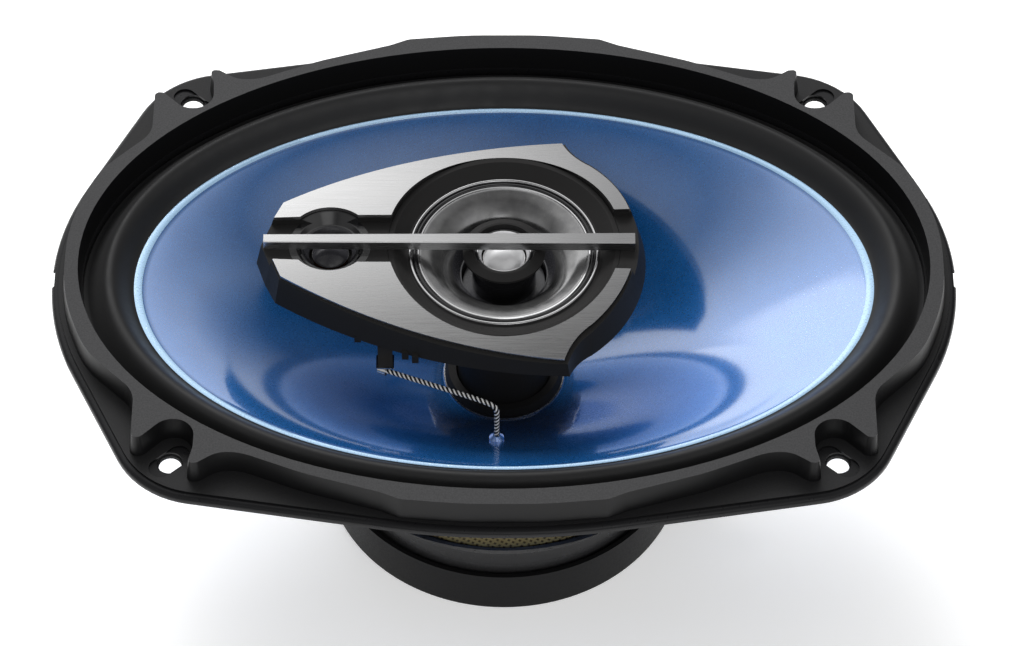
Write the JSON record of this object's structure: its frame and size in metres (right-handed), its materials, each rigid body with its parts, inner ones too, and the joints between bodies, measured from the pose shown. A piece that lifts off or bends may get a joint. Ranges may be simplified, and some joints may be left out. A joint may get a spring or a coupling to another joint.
{
  "type": "coaxial car speaker",
  "caption": "Oval coaxial car speaker: steel basket and trim ring, sprung glossy cone, and a raised arrow-shaped pod with a midrange cone and dome tweeters on a central post.",
  "frame": {"origin": "centre of the four screw holes, on the plane of the panel that the speaker is screwed to", "axes": "+Z out of the panel towards the listener, +X along the long axis of the oval, away from the pod's nose"},
  "size_m": [0.2368, 0.1668, 0.0968],
  "materials": {
    "coated_steel": "satin black",
    "foam": "matt foam",
    "trim_plastic": "fine grain",
    "plain_steel": "zinc plated",
    "ferrite": "matt",
    "boot_plastic": "satin",
    "black_plastic": "satin",
    "cone_film": "pearl gloss",
    "roll_rubber": "matt",
    "spider_cloth": "woven",
    "former_foil": "satin",
    "coil_wire": "enamelled",
    "face_metal": "brushed",
    "graphite_film": "gloss",
    "bright_metal": "polished",
    "dome_metal": "satin",
    "dark_film": "satin",
    "capacitor_sleeve": "gloss",
    "tinsel_braid": "braided",
    "tab_metal": "plated"
  },
  "bodies": {
    "frame": {"basket": "coated_steel", "basket_rivets": "plain_steel", "mounting_gasket": "foam", "trim_ring": "trim_plastic", "top_plate": "coated_steel", "magnet": "ferrite", "yoke": "plain_steel", "magnet_boot": "boot_plastic", "post": "black_plastic", "post_screw": "plain_steel", "pod_housing": "black_plastic", "face_plate_rear": "face_metal", "face_plate_front": "face_metal", "centre_bar": "face_metal", "midrange_frame": "black_plastic", "midrange_rim": "bright_metal", "midrange_surround": "roll_rubber", "midrange_plate": "plain_steel", "midrange_magnet": "ferrite", "midrange_yoke": "plain_steel", "tweeter_cup": "black_plastic", "tweeter_bezel": "black_plastic", "tweeter_dish": "bright_metal", "tweeter_magnet": "ferrite", "small_tweeter_bezel": "black_plastic", "small_tweeter_dish": "black_plastic", "small_tweeter_cup": "black_plastic", "small_tweeter_magnet": "ferrite", "crossover_capacitors": "capacitor_sleeve", "lead_tab": "black_plastic", "lead_clip": "bright_metal", "tinsel_lead": "tinsel_braid", "terminal_block": "black_plastic", "terminal_tabs": "tab_metal", "surround": "roll_rubber", "spider": "spider_cloth"},
    "woofer": {"woofer_cone": "cone_film", "voice_coil_former": "former_foil", "voice_coil": "coil_wire", "neck_ring": "black_plastic", "lead_eyelet": "black_plastic"},
    "midrange": {"midrange_cone": "graphite_film", "midrange_former": "former_foil", "midrange_coil": "coil_wire"},
    "tweeter": {"tweeter_dome": "dome_metal", "tweeter_coil": "coil_wire"},
    "small_tweeter": {"small_tweeter_dome": "dark_film", "small_tweeter_coil": "coil_wire"}
  },
  "joints": [
    {"name": "woofer_travel", "type": "slide", "parent": "frame", "child": "woofer", "axis": [0, 0, 1], "range_m": [-0.004, 0.004], "stiffness_N_per_m": 1500, "deforming": ["surround", "spider", "tinsel_lead"]},
    {"name": "midrange_travel", "type": "slide", "parent": "frame", "child": "midrange", "axis": [0, 0, 1], "range_m": [-0.0005, 0.0005], "stiffness_N_per_m": 3000, "deforming": ["midrange_surround"]},
    {"name": "tweeter_travel", "type": "slide", "parent": "frame", "child": "tweeter", "axis": [0, 0, 1], "range_m": [-0.0002, 0.0002], "stiffness_N_per_m": 4000},
    {"name": "small_tweeter_travel", "type": "slide", "parent": "frame", "child": "small_tweeter", "axis": [0, 0, 1], "range_m": [-0.0001, 0.0001], "stiffness_N_per_m": 4000}
  ]
}
